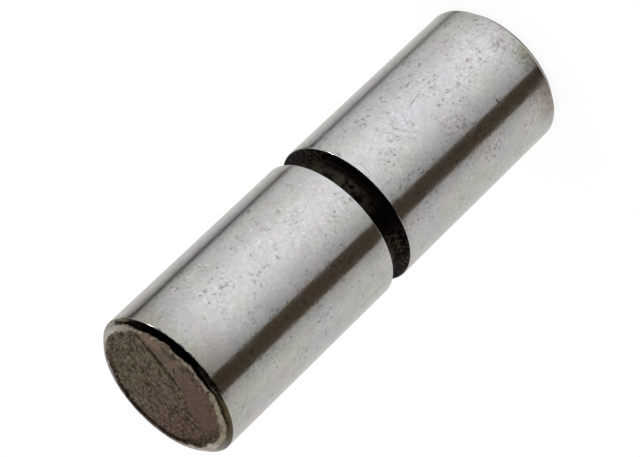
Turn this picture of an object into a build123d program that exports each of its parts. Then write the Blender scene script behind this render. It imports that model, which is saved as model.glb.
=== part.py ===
from build123d import *
from math import sqrt
import os

# Pivot pin: a plain steel bar, turned and then ground round its outside, with one square
# retaining groove and a chamfer at each end. Sizes are in millimetres.
# It stands on its foot with the axis along +Z. The origin is the middle of the foot face.

# The bar
pin_diameter = 18.0
pin_length = 57.3

# The groove, which a keeper plate or a ring drops into from the side
groove_height = 26.7
groove_width = 3.0
groove_depth = 1.4
groove_corner_radius = 0.2

# The ends: each chamfer leads the pin into its eye, and both are at 45 degrees
foot_chamfer = 0.9
top_chamfer = 1.05

# The top end's face: a rim rolls over into the chamfer, and its narrow flat crest stands just
# proud of a shallow dish with a sloping wall
rim_rounding = 1.1
rim_crest = 0.2
dish_depth = 0.15
dish_wall_angle = 45

# Grinding and deburring leave every edge of the two lands a little round
edge_radius = 0.12

pin_radius = pin_diameter / 2
groove_radius = pin_radius - groove_depth
groove_roof = groove_height + groove_width
rim_roll = rim_rounding * (sqrt(2) - 1)  # how far the rounding reaches in over the face
dish_radius = pin_radius - top_chamfer - rim_roll - rim_crest

with BuildPart() as pivot_pin:
    # Bar stock, cut to length
    with BuildSketch(Plane.XY):
        Circle(pin_radius)
    extrude(amount=pin_length)

    # Both ends chamfered
    end_edges = pivot_pin.edges().filter_by(GeomType.CIRCLE).sort_by(Axis.Z)
    chamfer(end_edges.first, length=foot_chamfer)
    end_edges = pivot_pin.edges().filter_by(GeomType.CIRCLE).sort_by(Axis.Z)
    chamfer(end_edges.last, length=top_chamfer)

    # The rim at the top end is rolled over, and the face inside it is dished
    rim_edge = pivot_pin.edges().filter_by(GeomType.CIRCLE).sort_by(Axis.Z).last
    fillet(rim_edge, radius=rim_rounding)
    with BuildSketch(Plane.XY.offset(pin_length)):
        Circle(dish_radius)
    extrude(amount=-dish_depth, taper=dish_wall_angle, mode=Mode.SUBTRACT)

    # The groove is plunged with a square tool whose two corners are slightly round
    with BuildSketch(Plane.XZ) as groove_section:
        with Locations((groove_radius, groove_height)):
            Rectangle(pin_radius, groove_width, align=(Align.MIN, Align.MIN))
        fillet(groove_section.vertices().group_by(Axis.X)[0], radius=groove_corner_radius)
    revolve(axis=Axis.Z, mode=Mode.SUBTRACT)

    # The four edges of the lands: two at the groove's lips and two at the chamfers
    rings = pivot_pin.edges().filter_by(GeomType.CIRCLE)
    land_edges = rings.filter_by(lambda ring: abs(ring.radius - pin_radius) < edge_radius / 10)
    fillet(land_edges, radius=edge_radius)

pivot_pin.part.label = "pivot_pin"

os.makedirs("parts", exist_ok=True)
export_step(pivot_pin.part, "parts/pivot_pin.step")
print("pin length", pin_length, "diameter", pin_diameter)
print("above the groove", round(pin_length - groove_roof, 2), "below it", groove_height)
print("dish", round(2 * dish_radius, 2), "across")
print("volume", round(pivot_pin.part.volume, 1), "cubic millimetres")
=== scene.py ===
import bpy
import bmesh
import math
from mathutils import Matrix, Vector


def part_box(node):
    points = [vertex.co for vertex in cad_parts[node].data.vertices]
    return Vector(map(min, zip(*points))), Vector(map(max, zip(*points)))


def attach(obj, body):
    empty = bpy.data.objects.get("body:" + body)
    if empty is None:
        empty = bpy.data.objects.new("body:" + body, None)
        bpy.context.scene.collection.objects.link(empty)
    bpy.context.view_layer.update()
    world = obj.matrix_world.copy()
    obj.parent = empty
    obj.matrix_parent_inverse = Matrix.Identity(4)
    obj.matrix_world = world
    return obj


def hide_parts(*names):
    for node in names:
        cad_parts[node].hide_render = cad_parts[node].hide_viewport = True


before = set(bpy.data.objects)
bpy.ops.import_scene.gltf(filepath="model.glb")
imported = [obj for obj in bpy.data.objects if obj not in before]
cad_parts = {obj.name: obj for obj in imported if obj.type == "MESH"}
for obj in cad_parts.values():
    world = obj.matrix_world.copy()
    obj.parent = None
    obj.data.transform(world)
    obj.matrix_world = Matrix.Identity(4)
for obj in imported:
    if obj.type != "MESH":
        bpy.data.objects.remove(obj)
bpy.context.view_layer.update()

# The pin stands on its foot. Places round it are headings in degrees: 0 points at the camera
# (-Y) and 90 points along -X, which is to the lower right in the picture.

# Helpers for meshes


def deselectAll():
    if bpy.context.object and bpy.context.object.mode != "OBJECT":
        bpy.ops.object.mode_set(mode="OBJECT")
    bpy.ops.object.select_all(action="DESELECT")


def pick(piece, kind, test):
    # selects only the faces or edges of the piece, in edit mode, that pass the test
    bpy.ops.mesh.select_mode(type=kind)
    bpy.ops.mesh.select_all(action="DESELECT")
    grid = bmesh.from_edit_mesh(piece.data)
    for part in grid.faces if kind == "FACE" else grid.edges:
        part.select_set(test(part))
    grid.select_flush_mode()
    bmesh.update_edit_mesh(piece.data)


def onRing(radius, height, slack=2e-5):
    # a test for the edges that lie on one circle round the pin's axis
    def test(edge):
        return all(
            abs(math.hypot(v.co.x, v.co.y) - radius) < slack and abs(v.co.z - height) < slack
            for v in edge.verts
        )

    return test


# Every size of the pin, read from its CAD solid


def measurePin():
    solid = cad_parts["pivot_pin"].data
    corners = [(math.hypot(v.co.x, v.co.y), v.co.z) for v in solid.vertices]
    low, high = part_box("pivot_pin")
    radius, top = (high.x - low.x) / 2, high.z
    slack = 2e-6  # corners this close to a size are on it
    ends = 2e-3  # everything at the two ends lies this close to them
    shallow = 5e-4  # the groove goes deeper than this
    groove = [(r, z) for r, z in corners if r < radius - shallow and ends < z < top - ends]
    grooveLow, grooveHigh = min(z for r, z in groove), max(z for r, z in groove)
    grooveRadius = min(r for r, z in groove)
    land = [z for r, z in corners if r > radius - slack]
    onTop = [r for r, z in corners if z > top - slack]
    dish = [(r, z) for r, z in corners if r < min(onTop) - slack and z > top - ends]
    dishFloor = min(z for r, z in dish)
    lipRound = grooveLow - max(z for z in land if z < grooveLow)
    landRoll = lipRound * math.tan(math.radians(45 / 2))  # the chamfers are at 45 degrees
    topChamfer = top - max(land) - landRoll
    return {
        "radius": radius,
        "top": top,
        "grooveLow": grooveLow,
        "grooveHigh": grooveHigh,
        "grooveRadius": grooveRadius,
        "cornerRound": min(z for r, z in groove if r < grooveRadius + slack) - grooveLow,
        "lipRound": lipRound,
        "landRoll": landRoll,  # how far the rounding at a chamfer reaches along the land
        "footChamfer": min(land) - landRoll,
        "topChamfer": topChamfer,
        "rimRoll": radius - topChamfer - max(onTop),
        "crest": max(onTop),
        "dish": min(onTop),
        "dishFloor": max(r for r, z in dish if z < dishFloor + slack),
        "dishDepth": top - dishFloor,
    }


pin = measurePin()
print("measured the pin:", {name: round(size * 1000, 3) for name, size in pin.items()})

# The turned bar

barShape = {
    "segments": 256,
    "lipSteps": 4,  # the ground edges of the two lands
    "cornerSteps": 5,  # the two corners of the groove's floor
    "rimSteps": 12,  # the rounded rim of the top end
    "ringGap": 0.0012,  # rings along the lands, which keep their shading even
    "guard": 0.00006,  # a last ring this far from each rounded edge
    "faceRings": 22,
    "slack": 1e-6,  # faces this close to a height are at it, and closer corners are one
    "smoothUnder": 32,  # degrees
    "groundDown": 0.7,  # the grinding reaches this share of the way down the lands' round edges
}


def bevelRing(piece, radius, height, width, steps):
    pick(piece, "EDGE", onRing(radius, height))
    bpy.ops.mesh.bevel(
        offset=width, offset_type="OFFSET", segments=steps, profile=0.5, affect="EDGES"
    )


def pickLevel(piece, height):
    # selects the faces whose middle is at the height
    slack = barShape["slack"]
    pick(piece, "FACE", lambda face: abs(face.calc_center_median().z - height) < slack)


def cutAcross(height):
    bpy.ops.mesh.select_all(action="SELECT")
    bpy.ops.mesh.bisect(plane_co=(0, 0, height), plane_no=(0, 0, 1))


def ringFace(edge):
    # rings on the selected end face, down to one point in the middle
    bpy.ops.mesh.inset(thickness=barShape["guard"])
    gap = (edge - barShape["guard"]) / (barShape["faceRings"] + 0.5)
    for ring in range(barShape["faceRings"]):
        bpy.ops.mesh.inset(thickness=gap)
    bpy.ops.mesh.merge(type="COLLAPSE")


def makeBar():
    deselectAll()
    top, radius = pin["top"], pin["radius"]
    bpy.ops.mesh.primitive_cylinder_add(
        vertices=barShape["segments"],
        radius=radius,
        depth=top,
        location=(0, 0, top / 2),
        end_fill_type="NGON",
    )
    bar = bpy.context.object
    bar.name = "turnedBar"
    bpy.ops.object.transform_apply(location=True, rotation=True, scale=True)
    bpy.ops.object.mode_set(mode="EDIT")

    # the groove: two cuts right round the bar, and the band between them pushed in
    lips = (pin["grooveLow"], pin["grooveHigh"])
    for height in lips:
        cutAcross(height)
    pickLevel(bar, sum(lips) / 2)
    bpy.ops.mesh.extrude_region_shrink_fatten(
        TRANSFORM_OT_shrink_fatten={"value": pin["grooveRadius"] - radius}
    )

    # the chamfers, the rim that rolls over at the top end, then every edge of the lands
    bevelRing(bar, radius, 0, pin["footChamfer"], 1)
    bevelRing(bar, radius, top, pin["topChamfer"], 1)
    bevelRing(bar, radius - pin["topChamfer"], top, pin["rimRoll"], barShape["rimSteps"])
    bevelRing(bar, radius, pin["footChamfer"], pin["landRoll"], barShape["lipSteps"])
    bevelRing(bar, radius, top - pin["topChamfer"], pin["landRoll"], barShape["lipSteps"])
    for height in lips:
        bevelRing(bar, radius, height, pin["lipRound"], barShape["lipSteps"])
        bevelRing(bar, pin["grooveRadius"], height, pin["cornerRound"], barShape["cornerSteps"])

    # rings along the lands, and one close to each rounded edge
    lands = (
        (pin["footChamfer"] + pin["landRoll"], pin["grooveLow"] - pin["lipRound"]),
        (pin["grooveHigh"] + pin["lipRound"], top - pin["topChamfer"] - pin["landRoll"]),
    )
    for low, high in lands:
        count = round((high - low) / barShape["ringGap"])
        for step in range(1, count):
            cutAcross(low + (high - low) * step / count)
        cutAcross(low + barShape["guard"])
        cutAcross(high - barShape["guard"])

    # the foot's face is flat, and the top's is dished inside the crest of its rim
    pickLevel(bar, 0)
    ringFace(radius - pin["footChamfer"])
    pickLevel(bar, top)
    bpy.ops.mesh.inset(thickness=pin["crest"] - pin["dish"])
    bpy.ops.mesh.inset(thickness=pin["dish"] - pin["dishFloor"], depth=-pin["dishDepth"])
    ringFace(pin["dishFloor"])

    bpy.ops.mesh.select_all(action="SELECT")
    bpy.ops.mesh.remove_doubles(threshold=barShape["slack"])
    bpy.ops.mesh.normals_make_consistent(inside=False)
    bpy.ops.object.mode_set(mode="OBJECT")
    bpy.ops.object.shade_smooth_by_angle(angle=math.radians(barShape["smoothUnder"]))
    return bar


bar = makeBar()
print("turned the bar:", len(bar.data.polygons), "faces")

# Shader tools

white = (1, 1, 1, 1)
strokeCore = 0.22  # a scratch is full to this share of its width from its middle
pitSpread = 0.6  # of the cells that have a pit, the share in which it is below its full size
pitEdge = 0.5  # the share of a pit that its soft edge takes up


class Wire:
    # one socket of a shader, so that maths on it is written as an expression
    def __init__(self, board, socket):
        self.board = board
        self.socket = socket

    def out(self, name):
        return Wire(self.board, self.socket.node.outputs[name])

    def maths(self, operation, *values):
        return self.board.add("ShaderNodeMath", {"operation": operation}, dict(enumerate(values)))

    def __add__(self, other):
        return self.maths("ADD", self, other)

    def __radd__(self, other):
        return self.maths("ADD", other, self)

    def __sub__(self, other):
        return self.maths("SUBTRACT", self, other)

    def __rsub__(self, other):
        return self.maths("SUBTRACT", other, self)

    def __mul__(self, other):
        return self.maths("MULTIPLY", self, other)

    def __rmul__(self, other):
        return self.maths("MULTIPLY", other, self)

    def __abs__(self):
        return self.maths("ABSOLUTE", self)

    def most(self, other):
        # the greater of the two
        return self.maths("MAXIMUM", self, other)

    def held(self, low, high):
        # kept between low and high
        return self.maths("MINIMUM", self.most(low), high)

    def swing(self, reach):
        # a noise made to vary about 0, by up to half of reach
        return (self - 0.5) * reach


class Board:
    # the node tree of one material or world
    def __init__(self, tree):
        self.tree = tree
        tree.nodes.clear()

    def add(self, kind, settings=None, sockets=None, output=0):
        node = self.tree.nodes.new(kind)
        for name, value in (settings or {}).items():
            setattr(node, name, value)
        for name, value in (sockets or {}).items():
            if isinstance(value, Wire):
                self.tree.links.new(value.socket, node.inputs[name])
            else:
                node.inputs[name].default_value = value
        return Wire(self, node.outputs[output]) if node.outputs else node

    def place(self):
        return self.add("ShaderNodeTexCoord", None, None, "Object")

    def polar(self, where):
        # heading in degrees, height, and distance from the pin's axis
        parts = self.add("ShaderNodeSeparateXYZ", None, {0: where})
        x, y = parts.out("X"), parts.out("Y")
        around = x.maths("ARCTAN2", x * -1.0, y * -1.0) * (180 / math.pi)
        return around, parts.out("Z"), x.maths("SQRT", x * x + y * y)

    def join(self, x, y, z=0.0):
        return self.add("ShaderNodeCombineXYZ", None, {0: x, 1: y, 2: z})

    def vector(self, operation, sockets, output="Vector"):
        return self.add("ShaderNodeVectorMath", {"operation": operation}, sockets, output)

    def blend(self, factor, first, second):
        # a colour between two colours
        node = {"data_type": "RGBA", "clamp_factor": True}
        return self.add("ShaderNodeMix", node, {0: factor, 6: first, 7: second}, output=2)

    def tint(self, first, second):
        node = {"data_type": "RGBA", "blend_type": "MULTIPLY"}
        return self.add("ShaderNodeMix", node, {0: 1.0, 6: first, 7: second}, output=2)

    def scaled(self, colour, tone):
        # a colour made darker or lighter
        plain = colour if isinstance(colour, Wire) else colour[:3]
        return self.vector("SCALE", {0: plain, "Scale": tone})

    def ease(self, value, low, high, start=0.0, end=1.0):
        # start below low, end above high, and a smooth change between them
        node = {"interpolation_type": "SMOOTHSTEP"}
        return self.add("ShaderNodeMapRange", node, {0: value, 1: low, 2: high, 3: start, 4: end})

    def fade(self, value, low, high):
        return self.ease(value, low, high, 1.0, 0.0)

    def noise(self, where, kind):
        # kind is the size of the blotches in metres, detail and roughness
        size, detail, rough = kind
        sockets = {"Vector": where, "Scale": 1 / size, "Detail": detail, "Roughness": rough}
        return self.add("ShaderNodeTexNoise", None, sockets)

    def spots(self, where, kind, levels):
        # 0 where the noise is below both levels, 1 where it is above them
        return self.ease(self.noise(where, kind), *levels)

    def stray(self, where, kind):
        # the same place, pushed about: kind is the size of the blotches and about how far
        size, reach = kind
        push = self.noise(where, (size, 3, 0.6)).out("Color")
        push = self.vector("SUBTRACT", {0: push, 1: (0.5, 0.5, 0.5)})
        push = self.vector("SCALE", {0: push, "Scale": 2 * reach})
        return self.vector("ADD", {0: where, 1: push})

    def drawnOut(self, where, turn, stretch):
        # the same place, for a pattern made longer along its own Y and turned by some degrees
        sockets = {"Rotation": (0, 0, math.radians(turn)), "Scale": (1, stretch, 1)}
        node = {"vector_type": "TEXTURE"}
        return self.add("ShaderNodeMapping", node, {"Vector": where, **sockets})

    def stroke(self, flat, start, end, width):
        # a scratch from start to end on a flat place: 1 along its middle, 0 beside it
        way = Vector((end[0] - start[0], end[1] - start[1], 0))
        off = self.vector("SUBTRACT", {0: flat, 1: (start[0], start[1], 0)})
        off = self.vector("MULTIPLY", {0: off, 1: (1, 1, 0)})
        along = self.vector("DOT_PRODUCT", {0: off, 1: way / way.length_squared}, "Value")
        back = self.vector("SCALE", {0: tuple(way), "Scale": along.held(0.0, 1.0)})
        beside = self.vector("LENGTH", {0: self.vector("SUBTRACT", {0: off, 1: back})}, "Value")
        return self.fade(beside, width * strokeCore, width / 2)

    def facing(self, around, zone):
        # 1 within the zone's half width of its heading, 0 outside it, easing over its soft degrees
        turned = around - zone["heading"]
        off = abs(turned.maths("WRAP", turned, 180.0, -180.0))
        return self.fade(off, zone["half"] - zone["soft"] / 2, zone["half"] + zone["soft"] / 2)

    def mostly(self, around, zone, least):
        # 1 in the zone, and least outside it
        return least + self.facing(around, zone) * (1 - least)

    def pits(self, where, look, crowd):
        # small pits, one to a cell, in the share of the cells that crowd allows
        if look["stretch"] != 1:
            where = self.drawnOut(where, look["turn"], look["stretch"])
        cell = self.add("ShaderNodeTexVoronoi", None, {"Vector": where, "Scale": 1 / look["cell"]})
        chance = self.add("ShaderNodeSeparateColor", None, {0: cell.out("Color")})
        room = look["size"] / look["cell"]
        chosen = chance - 1 + crowd * look["share"]
        size = self.ease(chosen, 0.0, look["share"] * pitSpread, 0.0, room)
        return self.ease(size - cell.out("Distance"), 0.0, room * pitEdge)

    def relief(self, depth):
        return self.add("ShaderNodeBump", None, {"Height": depth, "Distance": 1.0, "Strength": 1.0})


def newMaterial(name):
    made = bpy.data.materials.new(name)
    made.use_nodes = True
    return made, Board(made.node_tree)


def finishMaterial(board, shader):
    board.add("ShaderNodeOutputMaterial", None, {"Surface": shader})


def millimetres(*sizes):
    return tuple(size / 1000 for size in sizes)


# In the finishes below, a Noise is its size in metres, detail and roughness, a Range is where in
# a noise the mark begins and where it is full, and a Stray is its size and reach in metres.

# Bright ground steel, on the two lands

groundFinish = {
    "colour": (0.652, 0.646, 0.646, 1),
    # wide soft patches of colour
    "blueTint": (0.955, 0.982, 1.0, 1),
    "greenTint": (0.968, 1.0, 0.953, 1),
    "greenNoise": (0.005, 2, 0.5),
    "greenRange": (0.4, 0.6),
    "pinkTint": (1.0, 0.966, 0.968, 1),
    "pinkNoise": (0.0035, 2, 0.5),
    "pinkRange": (0.52, 0.68),
    # duller places between bright ones, a fine grain, and shallow waves from the grinding
    "roughness": 0.10,
    "dullNoise": (0.0016, 4, 0.65),
    "dullRange": (0.4, 0.64),
    "dullTone": 0.92,
    "dullRoughness": 0.16,
    "grainNoise": (0.0004, 3, 0.65),
    "grainTone": 0.6,
    "waveNoise": (0.0016, 2, 0.5),
    "waveDepth": 0.0000010,
    # wear, in drifts and in clusters within them
    "worn": (0.20, 0.195, 0.185, 1),
    "wornStray": (0.00028, 0.0001),
    "driftNoise": (0.0032, 3, 0.6),
    "driftRange": (0.36, 0.62),
    "clusterNoise": (0.0011, 3, 0.6),
    "clusterRange": (0.5, 0.7),
    "worst": {"heading": -22, "half": 62, "soft": 50},
    "worstElse": 0.6,  # wear outside the worst zone, against that in it
    "footShare": 1.3,  # wear below the groove, against that above it
    # dark specks, with brighter raised edges beside them: what a drift and a cluster add to each
    "speckNoise": (0.00045, 3, 0.6),
    "speckMore": (0.07, 0.06),
    "speckRange": (0.63, 0.76),
    "speckTone": 0.62,
    "burrMore": (0.06, 0.04),
    "burrRange": (-0.39, -0.27),
    "burrTone": 0.16,
    # round pits, and short scratches at two slants
    "pits": (
        {"cell": 0.0011, "share": 0.5, "size": 0.00019, "tone": 0.75, "turn": 0, "stretch": 1},
        {"cell": 0.0006, "share": 0.35, "size": 0.00010, "tone": 0.5, "turn": 0, "stretch": 1},
        {"cell": 0.0012, "share": 0.12, "size": 0.00009, "tone": 0.5, "turn": 52, "stretch": 4},
        {"cell": 0.0011, "share": 0.10, "size": 0.00009, "tone": 0.5, "turn": -24, "stretch": 4},
    ),
    "pitsElse": 0.1,  # how many there are outside the drifts, and how many more in them
    "pitsMore": 1.2,
    "pitDepth": 0.000003,
    # fine curved marks, dark and pale, that follow two levels of a noise
    "curlNoise": (0.0008, 2, 0.5),
    "curlMore": 0.1,
    "curlRange": (0.54, 0.64),
    "curlWidth": (0.006, 0.022),
    "darkCurl": 0.47,
    "darkCurlTone": 0.42,
    "paleCurl": 0.53,
    "paleCurlTone": 0.6,
    # scratches: heading and height in millimetres of each end, width in millimetres, strength
    "scratches": (
        ((36, 48.9), (47, 48.7), 0.16, 0.8),
        ((-22, 18.1), (-27, 13.8), 0.16, 0.7),
        ((-26, 12.5), (-25, 9.3), 0.14, 0.5),
        ((-28, 6.6), (-26.5, 1.8), 0.16, 0.6),
        ((-11, 10.5), (-10, 3.2), 0.16, 0.4),
        ((13.3, 8.1), (18.5, 7.9), 0.3, 1.0),
        ((-6, 21.2), (-2, 20.9), 0.18, 0.6),
        ((-46, 11.8), (-35, 11.5), 0.12, 0.4),
        ((68, 7.4), (69, 4.3), 0.2, 0.5),
        ((66, 35.2), (65, 32.0), 0.2, 0.5),
    ),
    "scratchStray": (0.0004, 0.0001),
    "scratchNoise": (0.00045, 3, 0.6),
    "scratchRange": (0.42, 0.56),
    # stains beside the chamfer of the foot end, brown and greenish, with specks in them
    "stains": (
        {"heading": 42, "half": 17, "soft": 10, "reach": 0.0058, "colour": (0.40, 0.31, 0.26, 1)},
        {"heading": 7, "half": 10, "soft": 8, "reach": 0.0040, "colour": (0.30, 0.30, 0.19, 1)},
    ),
    "stainNoise": (0.0006, 4, 0.7),
    "stainMore": 0.2,
    "stainRange": (0.48, 0.64),
    "stainTone": 0.85,
    "stainSpeckRange": (0.54, 0.64),
    "stainSpeckTone": 0.6,
    "stainRoughness": 0.2,
    # warmer and darker steel towards each end, at the top mostly in one zone. At the top this is
    # painted shade, a darker reflection painted into the colour
    "topShade": (0.66, 0.64, 0.58, 1),
    "topReach": 0.008,
    "topZone": {"heading": -20, "half": 40, "soft": 24},
    "topElse": 0.3,
    "footDarkening": (0.79, 0.78, 0.77, 1),
    "footReach": 0.0045,
    # painted shade: a dark edge along the land, under the chamfer of the top end
    "edgeShade": (0.05, 0.04, 0.035, 1),
    "edgeShadeZone": {"heading": -2, "half": 31, "soft": 8},
    "edgeShadeReach": 0.0002,
    "edgeShadeNoise": (0.0006, 4, 0.7),
    "edgeShadeSwing": 0.0008,
}


def makeGroundSteel():
    made, board = newMaterial("groundSteel")
    look = groundFinish
    place = board.place()
    around, height = board.polar(place)[:2]
    ragged = board.stray(place, look["wornStray"])

    green = board.spots(place, look["greenNoise"], look["greenRange"])
    pink = board.spots(place, look["pinkNoise"], look["pinkRange"])
    colour = board.blend(green, look["blueTint"], look["greenTint"])
    colour = board.tint(look["colour"], board.blend(pink, colour, look["pinkTint"]))
    dull = board.spots(place, look["dullNoise"], look["dullRange"])
    grain = board.noise(place, look["grainNoise"])
    tone = (1 - dull * (1 - look["dullTone"])) * (1 + grain.swing(look["grainTone"]))
    colour = board.scaled(colour, tone)
    # painted shade: darker, warmer steel towards the top end, mostly in one zone
    atTop = board.ease(height, pin["top"] - look["topReach"], pin["top"])
    atTop = atTop * board.mostly(around, look["topZone"], look["topElse"])
    colour = board.tint(colour, board.blend(atTop, white, look["topShade"]))
    # darker and slightly warmer towards the foot end
    atFoot = board.fade(height, 0.0, look["footReach"])
    colour = board.tint(colour, board.blend(atFoot, white, look["footDarkening"]))

    # wear, thickest where the bar lay against its bore
    drift = board.spots(place, look["driftNoise"], look["driftRange"])
    crowd = drift * board.mostly(around, look["worst"], look["worstElse"])
    crowd = crowd * board.ease(height, pin["grooveLow"], pin["grooveHigh"], look["footShare"], 1.0)
    cluster = board.spots(place, look["clusterNoise"], look["clusterRange"])
    speck = board.noise(ragged, look["speckNoise"])
    inDrift, inCluster = look["speckMore"]
    marks = board.ease(speck + crowd * inDrift + cluster * inCluster, *look["speckRange"])
    marks = marks * look["speckTone"]
    inDrift, inCluster = look["burrMore"]
    burr = board.ease(crowd * inDrift + cluster * inCluster - speck, *look["burrRange"])
    colour = board.scaled(colour, 1 + burr * look["burrTone"])
    for kind in look["pits"]:
        pits = board.pits(ragged, kind, look["pitsElse"] + crowd * look["pitsMore"])
        marks = marks.most(pits * kind["tone"])
    curls = board.noise(ragged, look["curlNoise"])
    shown = board.noise(place, look["curlNoise"]) + crowd * look["curlMore"]
    shown = board.ease(shown, *look["curlRange"])
    dark = board.fade(abs(curls - look["darkCurl"]), *look["curlWidth"]) * shown
    pale = board.fade(abs(curls - look["paleCurl"]), *look["curlWidth"]) * shown
    marks = marks.most(dark * look["darkCurlTone"])
    colour = board.scaled(colour, 1 + pale * look["paleCurlTone"] * look["burrTone"])

    # the scratches are laid on the land as if it were unrolled
    flat = board.join(around * math.radians(pin["radius"]), height)
    flat = board.stray(flat, look["scratchStray"])
    broken = board.spots(place, look["scratchNoise"], look["scratchRange"])
    for (heading, low), (nextHeading, high), width, strength in look["scratches"]:
        start = (math.radians(heading) * pin["radius"], low / 1000)
        end = (math.radians(nextHeading) * pin["radius"], high / 1000)
        marks = marks.most(board.stroke(flat, start, end, width / 1000) * broken * strength)
    colour = board.blend(marks, colour, look["worn"])

    stained = 0.0
    for stain in look["stains"]:
        here = board.fade(height, 0.0, stain["reach"]) * board.facing(around, stain)
        blotch = board.noise(ragged, look["stainNoise"]) + here * look["stainMore"]
        here = here * board.ease(blotch, *look["stainRange"])
        colour = board.blend(here * look["stainTone"], colour, stain["colour"])
        specks = here * board.ease(speck, *look["stainSpeckRange"]) * look["stainSpeckTone"]
        colour = board.blend(specks, colour, look["worn"])
        stained = here.most(stained)

    # painted shade along the land's edge under the top chamfer, in one zone
    swing = board.noise(place, look["edgeShadeNoise"]).swing(look["edgeShadeSwing"])
    here = board.fade(pin["top"] - pin["topChamfer"] - height + swing, 0.0, look["edgeShadeReach"])
    colour = board.blend(here * board.facing(around, look["edgeShadeZone"]), colour, look["edgeShade"])

    waves = board.noise(place, look["waveNoise"])
    relief = board.relief(waves * look["waveDepth"] - marks * look["pitDepth"])
    rough = look["roughness"] + dull * (look["dullRoughness"] - look["roughness"])
    rough = rough + stained * look["stainRoughness"]
    shader = board.add(
        "ShaderNodeBsdfPrincipled",
        None,
        {"Base Color": colour, "Metallic": 1.0, "Roughness": rough, "Normal": relief},
    )
    finishMaterial(board, shader)
    return made


# Nearly black scale, in the groove

grooveFinish = {
    "colour": (0.040, 0.034, 0.024, 1),
    "dark": (0.0035, 0.002, 0.0018, 1),
    "mottleNoise": (0.0009, 4, 0.65),
    "mottleRange": (0.36, 0.62),
    "mottleDepth": 0.00003,
    "litZone": {"heading": -38, "half": 46, "soft": 30},  # painted light: here the groove is paler, where light falls into it
    "litElse": 0.12,
    "corner": 0.00045,  # how far the painted shade reaches out of the floor's two corners
    "underLip": (0.0003, 0.00005),  # how far under the lips it starts to thin out, and ends
    "rust": (0.095, 0.068, 0.044, 1),
    "rustNoise": (0.00045, 4, 0.7),
    "rustRange": (0.5, 0.6),
    "rustTone": 0.8,
    "rustZones": (
        {"heading": 66, "half": 26, "soft": 22, "share": 1.0},
        {"heading": -76, "half": 26, "soft": 20, "share": 0.6},
    ),
    "roughness": 0.42,
    "gloss": 0.04,
}


def makeGrooveScale():
    made, board = newMaterial("grooveScale")
    look = grooveFinish
    place = board.place()
    around, height, reach = board.polar(place)
    mottle = board.noise(place, look["mottleNoise"])
    # mottled scale, made paler in one zone as painted light
    mottleAndLight = board.ease(mottle, *look["mottleRange"])
    mottleAndLight = mottleAndLight * board.mostly(around, look["litZone"], look["litElse"])
    colour = board.blend(mottleAndLight, look["dark"], look["colour"])

    middle = (pin["grooveLow"] + pin["grooveHigh"]) / 2
    half = (pin["grooveHigh"] - pin["grooveLow"]) / 2
    # painted shade: darker, and less metal, in the floor's two corners, fading out under the lips
    cornerShade = board.ease(abs(height - middle), half - look["corner"] * 2, half - look["corner"])
    thinsOut, ends = look["underLip"]
    cornerShade = cornerShade * board.fade(reach, pin["radius"] - thinsOut, pin["radius"] - ends)
    colour = board.blend(cornerShade, colour, look["dark"])

    rusty = 0.0
    for zone in look["rustZones"]:
        rusty = (board.facing(around, zone) * zone["share"]).most(rusty)
    rust = board.spots(place, look["rustNoise"], look["rustRange"]) * rusty * look["rustTone"]
    colour = board.blend(rust, colour, look["rust"])

    shader = board.add(
        "ShaderNodeBsdfPrincipled",
        None,
        {
            "Base Color": colour,
            "Metallic": 1 - cornerShade,
            "Roughness": look["roughness"],
            "Normal": board.relief(mottle * look["mottleDepth"]),
            "Specular IOR Level": look["gloss"],
        },
    )
    finishMaterial(board, shader)
    return made


# The two ends: a dull brown face, a paler rim round it, and a dark glossy chamfer

allRound = {"heading": 0, "half": 200, "soft": 1}

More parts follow.
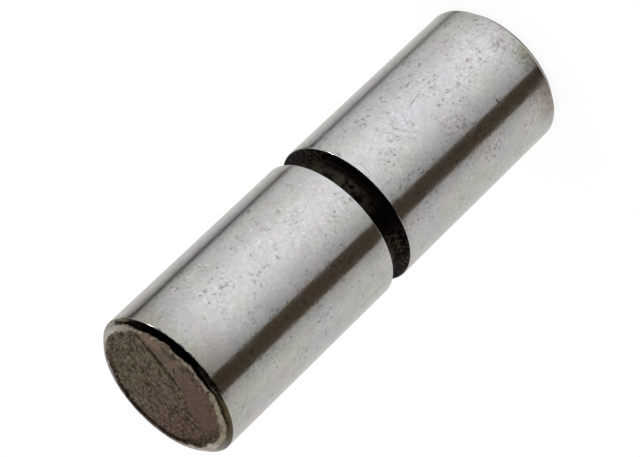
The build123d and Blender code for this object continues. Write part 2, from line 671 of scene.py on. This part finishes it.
endFinish = {
    "stray": (0.0004, 0.0001),
    "blotchNoise": (0.0018, 4, 0.65),
    "fineNoise": (0.0005, 4, 0.7),
    # every edge wanders, widely and finely
    "edgeNoise": (0.0016, 2, 0.5),
    "edgeSwing": 0.0005,
    "edgeFineSwing": 0.0003,
    # the face: grain, lumps, slanted strokes and blotches, laid over each other by their shares
    "face": (0.101, 0.069, 0.050, 1),
    "faceDark": (0.028, 0.018, 0.013, 1),
    "faceRange": (0.41, 0.51),
    "facePale": (0.168, 0.132, 0.102, 1),
    "faceRoughness": 0.6,
    "facePolish": 0.1,
    "paleRange": (0.50, 0.62),
    "grainNoise": (0.00034, 3, 0.65),
    "lumpNoise": (0.0008, 3, 0.6),
    "drawn": 1.9,  # the grain and the lumps are this many times as long along Y as along X
    "strokeNoise": (0.00036, 3, 0.6),
    "strokeTurn": 64,
    "strokeStretch": 3,
    "shares": {"blotch": 0.12, "lumps": 0.18, "strokes": 0.22, "grain": 0.48},
    "dashes": {"cell": 0.0011, "share": 0.5, "size": 0.00014, "turn": 64, "stretch": 4},
    "dashTone": 0.8,
    # it is pinker towards -X and greener towards +X
    "facePink": (0.97, 0.905, 0.89, 1),
    "faceGreen": (1.0, 1.12, 0.98, 1),
    "hueNoise": (0.004, 2, 0.5),
    "hueSwing": 0.012,
    "hueRange": (-0.006, 0.006),
    # smoother places on the top face: x and y of each end and the width, in millimetres, tone
    # and share of the tint
    "smears": (
        ((5.4, -6.4), (4.0, -6.7), 2.3, 1.50, 1.0),
        ((4.5, -6.1), (1.6, -6.0), 3.2, 1.27, 1.0),
        ((0.4, -5.7), (-3.0, -5.9), 3.4, 1.18, 0.6),
        ((-3.4, -4.4), (-5.6, -2.2), 4.6, 1.04, 0.0),
    ),
    "smearTint": (0.97, 0.92, 1.03, 1),
    "smearStray": (0.0012, 0.0004),
    "smearEvenness": 0.6,
    # the paler rim, by heading: where it starts, as a share of the radius, and its colour. The two
    # palest greys, at -94 and 108, are painted highlights on the rounded rim
    "rim": {"from": 0.890, "colour": (0.150, 0.116, 0.090, 1)},
    "rimTonesAndHighlights": (
        {"heading": -94, "half": 26, "soft": 30, "from": 0.885, "colour": (0.46, 0.43, 0.39, 1)},
        {"heading": 36, "half": 18, "soft": 20, "from": 0.890, "colour": (0.30, 0.25, 0.185, 1)},
        {"heading": 76, "half": 24, "soft": 24, "from": 0.870, "colour": (0.29, 0.245, 0.18, 1)},
        {"heading": 175, "half": 58, "soft": 30, "from": 0.825, "colour": (0.20, 0.165, 0.145, 1)},
        {"heading": 108, "half": 22, "soft": 20, "from": 0.845, "colour": (0.50, 0.44, 0.41, 1)},
        {"heading": -124, "half": 18, "soft": 20, "from": 0.855, "colour": (0.33, 0.305, 0.28, 1)},
    ),
    "rimSwing": 0.0009,
    "rimEdge": (-0.0001, 0.0002),
    "rimRange": (0.38, 0.62),
    "rimFine": 0.6,  # its mottling is partly fine and partly in lumps
    "rimLumps": 0.4,
    "rimTone": 0.72,  # its darkest, and how much brighter it gets
    "rimToneMore": 0.5,
    "rimRoughness": 0.45,
    "rimPolish": 0.3,
    # the pale broken line where the rim meets the chamfer
    "crumbs": (0.34, 0.295, 0.225, 1),
    "crumbsInside": 0.0001,
    "crumbsWidth": (0.00004, 0.00016),
    "crumbsRange": (0.46, 0.58),
    # a dark line along the dish's wall on the far side, and moss beside it to the right
    "nearBlack": (0.008, 0.004, 0.003, 1),
    "wallLineZone": {"heading": 176, "half": 58, "soft": 26},
    "wallLineWidth": (0.00012, 0.00032),
    "wallLineRange": (0.38, 0.48),
    "nearBlackTone": 0.9,
    "moss": (0.026, 0.021, 0.006, 1),
    "mossZone": {"heading": 102, "half": 28, "soft": 20},
    "mossInside": 0.0002,
    "mossWidth": (0.0003, 0.0008),
    "mossRange": (0.46, 0.53),
    "mossTone": 0.85,
    # scratches on the top face: x and y of each end and the width, in millimetres, strength
    "scratches": (
        ((5.6, -5.2), (4.7, -4.6), 0.5, 0.7),
        ((5.1, -4.9), (4.0, -4.3), 0.6, 0.8),
        ((4.1, -4.7), (2.9, -4.3), 0.7, 1.0),
        ((3.3, -4.6), (1.9, -4.1), 0.85, 1.0),
        ((2.3, -4.3), (1.1, -3.9), 0.85, 1.0),
        ((1.4, -4.2), (-0.3, -3.7), 0.75, 1.0),
        ((5.9, -3.4), (5.1, -3.1), 0.5, 0.7),
        ((4.9, -3.9), (4.2, -3.4), 0.5, 0.6),
        ((-3.0, -0.9), (-4.4, -0.9), 0.4, 0.8),
        ((-3.1, 0.3), (-5.4, 0.0), 0.45, 0.8),
        ((-3.9, 1.1), (-4.9, 1.0), 0.4, 0.7),
        ((0.9, -5.7), (0.5, -5.2), 0.4, 0.8),
        ((-2.3, 2.0), (-2.5, 2.5), 0.4, 0.8),
        ((-3.4, -7.45), (-3.8, -8.5), 0.3, 1.0),
    ),
    "scratchStray": (0.0008, 0.0002),
    "scratchRange": (0.36, 0.50),
    # the chamfer starts at a share of the radius: one in the black zone and one outside it
    "chamferBlack": 0.922,
    "chamferElse": 0.936,
    "chamferSoft": 0.00012,
    "chamfer": (0.115, 0.090, 0.050, 1),
    "footChamfer": (0.50, 0.49, 0.47, 1),
    "chamferRoughness": 0.2,
    # streaks along it: how much they are drawn out round the pin, and how strong they are
    "streakNoise": (0.004, 3, 0.6),
    "streakAcross": 14,
    "streakAlong": 0.0002,
    "streakRange": (0.54, 0.62),
    "streakTone": 0.4,
    # the black band: its middle is at a share of the radius, and it reaches so far to each side
    "blackZone": {"heading": -27, "half": 51, "soft": 6},
    "blackWidens": (-66, -36),  # it widens between these headings
    "blackMiddle": 0.962,
    "blackReach": 0.00007,
    "blackReachMore": 0.00039,
    "blackSoft": 0.00008,
    # one place where the chamfer is worn nearly bright, and one yellowish patch
    "bare": (0.46, 0.43, 0.39, 1),
    "bareZone": {"heading": -100, "half": 32, "soft": 34},
    "bareRange": (0.38, 0.5),
    "bareTone": 0.8,
    "patch": (0.34, 0.31, 0.20, 1),
    "patchZone": {"heading": -70, "half": 10, "soft": 8},
    "patchRange": (0.42, 0.52),
    # fine lines turned on each chamfer, and at 0.990 a dark line of painted shade along the
    # chamfer's edge with the land: share of the radius, half width in metres, zone, colour
    "linesAndEdgeShade": (
        (0.978, 0.00022, {"heading": 16, "half": 10, "soft": 6}, (0.40, 0.31, 0.25, 1)),
        (0.950, 0.00018, {"heading": 42, "half": 20, "soft": 18}, (0.016, 0.01, 0.008, 1)),
        # painted shade along the chamfer's edge with the land
        (0.990, 0.00020, {"heading": 26, "half": 9, "soft": 8}, (0.016, 0.01, 0.008, 1)),
        (0.960, 0.00040, {"heading": 87, "half": 11, "soft": 10}, (0.14, 0.105, 0.10, 1)),
    ),
    "footLines": (
        (0.904, 0.0003, allRound, (0.04, 0.04, 0.03, 1)),
        (0.950, 0.00014, allRound, (0.16, 0.15, 0.13, 1)),
    ),
    "lineCore": 0.4,
    "lineRange": (0.26, 0.42),
    "lineTone": 0.9,
    "blotchDepth": 0.00005,
    "strokeDepth": 0.00003,
    "nearBlackDepth": 0.00003,
    "gloss": 0.04,
}


def makeEndScale(name, marked):
    # the foot's end is the top's without its marks, with a brighter chamfer
    made, board = newMaterial(name)
    look, radius = endFinish, pin["radius"]
    place = board.place()
    around, _, reach = board.polar(place)
    ragged = board.stray(place, look["stray"])
    blotch = board.noise(place, look["blotchNoise"])
    fine = board.noise(ragged, look["fineNoise"])
    edge = reach + board.noise(place, look["edgeNoise"]).swing(look["edgeSwing"])
    edge = edge + fine.swing(look["edgeFineSwing"])

    # the face. A smear evens out what varies, and changes the tone and the tint
    smeared = board.stray(place, look["smearStray"])
    even = tinted = 0.0
    tone = 1.0
    for start, end, width, bright, share in look["smears"] if marked else ():
        smear = board.stroke(smeared, millimetres(*start), millimetres(*end), width / 1000)
        even = smear.most(even)
        tinted = (smear * share).most(tinted)
        tone = tone + smear * (bright - 1)
    slanted = board.drawnOut(ragged, look["strokeTurn"], look["strokeStretch"])
    strokes = board.noise(slanted, look["strokeNoise"])
    drawn = board.drawnOut(ragged, 0, look["drawn"])
    grain = board.noise(drawn, look["grainNoise"])
    lumps = board.noise(drawn, look["lumpNoise"])
    shares = look["shares"]
    light = blotch * shares["blotch"] + lumps * shares["lumps"]
    light = light + strokes * shares["strokes"] + grain * shares["grain"]
    light = light + (0.5 - light) * even * look["smearEvenness"]
    colour = board.blend(board.ease(light, *look["faceRange"]), look["faceDark"], look["face"])
    colour = board.blend(board.ease(light, *look["paleRange"]), colour, look["facePale"])
    x = board.add("ShaderNodeSeparateXYZ", None, {0: place})
    hue = x + board.noise(place, look["hueNoise"]).swing(look["hueSwing"])
    hue = board.ease(hue, *look["hueRange"])
    colour = board.tint(colour, board.blend(hue, look["facePink"], look["faceGreen"]))
    colour = board.blend(tinted, colour, board.tint(colour, look["smearTint"]))
    colour = board.scaled(colour, tone)

    # the rim: its inner edge and its colour change round the pin, with painted highlights in two
    # zones
    start, rim = look["rim"]["from"], look["rim"]["colour"]
    for zone in look["rimTonesAndHighlights"] if marked else ():
        here = board.facing(around, zone)
        start = start + here * (zone["from"] - look["rim"]["from"])
        rim = board.blend(here, rim, zone["colour"])
    onRim = edge - start * radius + lumps.swing(look["rimSwing"])
    onRim = board.ease(onRim, *look["rimEdge"])
    mottle = fine * look["rimFine"] + lumps * look["rimLumps"]
    rimTone = board.ease(mottle, *look["rimRange"]) * look["rimToneMore"]
    colour = board.blend(onRim, colour, board.scaled(rim, look["rimTone"] + rimTone))
    wide = board.facing(around, look["blackZone"]) * board.ease(around, *look["blackWidens"])
    chamferEdge = look["chamferElse"] + wide * (look["chamferBlack"] - look["chamferElse"])
    chamferEdge = chamferEdge * radius
    crumbs = board.fade(abs(edge - chamferEdge + look["crumbsInside"]), *look["crumbsWidth"])
    crumbs = crumbs * board.ease(grain, *look["crumbsRange"])
    colour = board.blend(crumbs, colour, look["crumbs"])

    # near-black marks: a line along the dish's wall, dirt in short dashes over the face, and dirt
    # in its scratches
    offWall = edge - pin["dishFloor"]
    nearBlack = board.fade(abs(offWall), *look["wallLineWidth"]) * board.facing(around, look["wallLineZone"])
    nearBlack = nearBlack * board.ease(fine, *look["wallLineRange"])
    dashes = board.pits(ragged, look["dashes"], 1.0) * (1 - even) * look["dashTone"]
    nearBlack = nearBlack.most(dashes * (1 - onRim))
    broken = board.ease(strokes, *look["scratchRange"])
    wavering = board.stray(place, look["scratchStray"])
    for start, end, width, strength in look["scratches"] if marked else ():
        scratch = board.stroke(wavering, millimetres(*start), millimetres(*end), width / 1000)
        nearBlack = nearBlack.most(scratch * broken * strength)

    # the chamfer
    onChamfer = board.ease(edge, chamferEdge, chamferEdge + look["chamferSoft"])
    streaks = board.join(edge * look["streakAcross"], around * look["streakAlong"])
    streaks = board.noise(streaks, look["streakNoise"])
    bare = board.facing(around, look["bareZone"]) * board.ease(streaks, *look["bareRange"])
    chamfer = look["chamfer" if marked else "footChamfer"]
    chamfer = board.blend(bare * look["bareTone"], chamfer, look["bare"])
    patch = board.facing(around, look["patchZone"]) * board.ease(grain, *look["patchRange"])
    chamfer = board.blend(patch, chamfer, look["patch"])
    if marked:
        reached = look["blackReach"] + wide * look["blackReachMore"]
        black = abs(edge - radius * look["blackMiddle"]) - reached
        black = board.fade(black, 0.0, look["blackSoft"]) * board.facing(around, look["blackZone"])
        black = black.most(board.ease(streaks, *look["streakRange"]) * look["streakTone"])
        # the black band and the streaks take the near-black colour
        chamfer = board.blend(black, chamfer, look["nearBlack"])
    colour = board.blend(onChamfer, colour, chamfer)
    for at, width, zone, lineColour in look["linesAndEdgeShade" if marked else "footLines"]:
        line = board.fade(abs(edge - at * radius), width * look["lineCore"], width)
        line = line * board.facing(around, zone) * board.ease(fine, *look["lineRange"])
        colour = board.blend(line * look["lineTone"], colour, lineColour)
    if marked:
        moss = board.fade(abs(offWall + look["mossInside"]), *look["mossWidth"])
        moss = moss * board.facing(around, look["mossZone"]) * board.ease(fine, *look["mossRange"])
        colour = board.blend(moss * look["mossTone"], colour, look["moss"])
        colour = board.blend(nearBlack * look["nearBlackTone"], colour, look["nearBlack"])

    relief = (blotch * look["blotchDepth"] + strokes * look["strokeDepth"]) * (1 - onChamfer)
    relief = board.relief(relief - nearBlack * look["nearBlackDepth"])
    metal = (1 - look["facePolish"]) * onChamfer.most(onRim * look["rimPolish"])
    rough = look["faceRoughness"] + onRim * (look["rimRoughness"] - look["faceRoughness"])
    rough = rough + onChamfer * (look["chamferRoughness"] - look["rimRoughness"])
    shader = board.add(
        "ShaderNodeBsdfPrincipled",
        None,
        {
            "Base Color": colour,
            "Metallic": look["facePolish"] + metal,
            "Roughness": rough,
            "Normal": relief,
            "Specular IOR Level": look["gloss"],
        },
    )
    finishMaterial(board, shader)
    return made


def finishBar():
    bar.data.materials.append(makeGroundSteel())
    bar.data.materials.append(makeGrooveScale())
    bar.data.materials.append(makeEndScale("topScale", True))
    bar.data.materials.append(makeEndScale("footScale", False))
    onLand = pin["radius"] - pin["lipRound"] * barShape["groundDown"]
    for face in bar.data.polygons:
        fromMiddle = face.center.z - pin["top"] / 2
        if math.hypot(face.center.x, face.center.y) > onLand:
            face.material_index = 0
        elif abs(fromMiddle) < pin["radius"]:
            face.material_index = 1
        else:
            face.material_index = 2 if fromMiddle > 0 else 3


finishBar()
print("finished the steel")

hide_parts("pivot_pin")
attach(bar, "root")

# The studio: what bright steel mirrors are panels and flags round the pin, by heading. Each fades
# over its soft degrees. A flag keeps a share of the light, and the change makes that share smaller
# higher up. The cap is a dark patch above and in front.

studio = {
    "base": 0.20,  # what is mirrored between the panels
    "panels": (
        {"heading": -40, "half": 54, "soft": 99, "bright": 0.85},
        {"heading": 160, "half": 95, "soft": 68, "bright": 0.495},
    ),
    "flags": (
        {"heading": 47.8, "half": 14.1, "soft": 3, "keep": 0.215, "change": 0},
        {"heading": -122.6, "half": 4.5, "soft": 9, "keep": 0.35, "change": 2.6},
        {"heading": -123.5, "half": 15, "soft": 26, "keep": 0.62, "change": 1.4},
    ),
    # they stand close, so a ray that climbs more than this level meets them further from the
    # lean's heading, and one that climbs less nearer to it, up to a most. Between two headings
    # the first spread changes to the second
    "lean": {"heading": -30, "level": -0.487, "most": 0.065, "from": 42, "to": 58},
    "leanSpread": (0.6, 0.18),
    "cool": (0.99, 0.992, 1.0, 1),
    "warm": (1.0, 0.975, 0.935, 1),
    "brown": (1.0, 0.72, 0.49, 1),
    "fill": 0.9,  # what lights the dull surfaces
    "cap": {"heading": -30, "height": 60, "from": 44, "to": 54, "keep": 0.01},
}


def wayTo(heading, height):
    # the direction of a heading round the pin and a height above the horizon, in degrees
    heading, height = math.radians(heading), math.radians(height)
    flat = math.cos(height)
    return Vector((-math.sin(heading) * flat, -math.cos(heading) * flat, math.sin(height)))


def makeWorld():
    world = bpy.data.worlds.new("studio")
    bpy.context.scene.world = world
    world.use_nodes = True
    board = Board(world.node_tree)
    way = board.add("ShaderNodeTexCoord", None, None, "Generated")
    around, slope = board.polar(way)[:2]
    lean = studio["lean"]
    rise = (slope - lean["level"]).held(-lean["most"], lean["most"])
    spread = board.ease(around, lean["from"], lean["to"], *studio["leanSpread"])
    around = around + (around - lean["heading"]) * rise * spread

    light = studio["base"]
    for panel in studio["panels"]:
        light = light + board.facing(around, panel) * panel["bright"]
    for flag in studio["flags"]:
        kept = flag["keep"] - rise * flag["change"]
        light = light * (1 - board.facing(around, flag) * (1 - kept))
    cap = studio["cap"]
    towards = wayTo(cap["heading"], cap["height"])
    near = board.vector("DOT_PRODUCT", {0: way, 1: towards}, "Value")
    far, close = math.cos(math.radians(cap["to"])), math.cos(math.radians(cap["from"]))
    light = light * board.ease(near, far, close, 1.0, cap["keep"])
    colour = board.blend(board.facing(around, studio["panels"][0]), studio["warm"], studio["cool"])
    colour = board.blend(board.facing(around, studio["flags"][0]), colour, studio["brown"])

    rays = board.add("ShaderNodeLightPath")
    seen = rays.out("Is Camera Ray").most(rays.out("Is Transmission Ray"))
    glossy = rays.out("Is Glossy Ray")
    strength = seen + glossy * light + (1 - seen) * (1 - glossy) * studio["fill"]
    colour = board.blend(glossy, white, colour)
    shader = board.add("ShaderNodeBackground", None, {"Color": colour, "Strength": strength})
    board.add("ShaderNodeOutputWorld", None, {"Surface": shader})


floorLook = {
    "size": 6.0,
    "below": 0.00005,  # how far it lies under the foot, so that the two don't flicker
    "colour": (0.8, 0.8, 0.8, 1),
    "white": 1.06,
    "shadowShare": 0.15,
}


def makeFloor():
    deselectAll()
    height = -floorLook["below"]
    bpy.ops.mesh.primitive_plane_add(size=floorLook["size"], location=(0, 0, height))
    floor = bpy.context.object
    floor.name = "floor"
    made, board = newMaterial("floorWhite")
    rays = board.add("ShaderNodeLightPath")
    matt = board.add("ShaderNodeBsdfDiffuse", None, {"Color": floorLook["colour"]})
    glow = {"Color": white, "Strength": floorLook["white"]}
    bright = board.add("ShaderNodeEmission", None, glow)
    clear = board.add("ShaderNodeBsdfTransparent")
    seen = board.add("ShaderNodeMixShader", None, {0: floorLook["shadowShare"], 1: bright, 2: matt})
    lit = board.add("ShaderNodeMixShader", None, {0: rays.out("Is Camera Ray"), 1: matt, 2: seen})
    # polished steel looks past the floor at the studio's panels. The floor is open under the
    # foot's face, and clear from below, so that the foot can be seen and lit
    reach = board.polar(board.place())[2]
    under = reach.maths("LESS_THAN", reach, pin["radius"] - pin["footChamfer"])
    below = board.add("ShaderNodeNewGeometry", None, None, "Backfacing")
    past = rays.out("Is Glossy Ray").most(under).most(below)
    shown = board.add("ShaderNodeMixShader", None, {0: past, 1: lit, 2: clear})
    finishMaterial(board, shown)
    floor.data.materials.append(made)


keyLamp = {"heading": -75, "height": 14, "distance": 0.8, "size": 0.12, "watts": 1.2}


def makeKeyLamp():
    light = bpy.data.lights.new("keyLamp", "AREA")
    light.size = keyLamp["size"]
    light.energy = keyLamp["watts"]
    lamp = bpy.data.objects.new("keyLamp", light)
    bpy.context.scene.collection.objects.link(lamp)
    way = wayTo(keyLamp["heading"], keyLamp["height"])
    lamp.location = Vector((0, 0, pin["top"] / 2)) + way * keyLamp["distance"]
    lamp.rotation_euler = way.to_track_quat("Z", "Y").to_euler()


makeWorld()
makeFloor()
makeKeyLamp()
print("set the studio")

# The camera, where the photo was taken from

cameraView = {
    "lens": 183.39,  # mm
    "sensor": 36,  # mm
    "clip": (0.01, 20),
    "distance": 0.35386,  # from the lens to the middle of the pin
    "height": 29.05,  # degrees above the horizon
    "aimPoint": (0.000847, 0.000655, 0.029846),
    "roll": 133.74,  # degrees, so that the pin's top end is at the lower left
}


def makeCamera():
    camera = bpy.data.objects.new("camera", bpy.data.cameras.new("camera"))
    bpy.context.scene.collection.objects.link(camera)
    camera.data.lens = cameraView["lens"]
    camera.data.sensor_width = cameraView["sensor"]
    camera.data.clip_start, camera.data.clip_end = cameraView["clip"]
    place = Vector((0, 0, pin["top"] / 2))
    place = place + wayTo(0, cameraView["height"]) * cameraView["distance"]
    aim = (Vector(cameraView["aimPoint"]) - place).to_track_quat("-Z", "Y")
    turn = Matrix.Rotation(math.radians(-cameraView["roll"]), 4, "Z")
    camera.matrix_world = Matrix.Translation(place) @ aim.to_matrix().to_4x4() @ turn
    bpy.context.scene.camera = camera


makeCamera()
bpy.context.scene.view_settings.view_transform = "Standard"
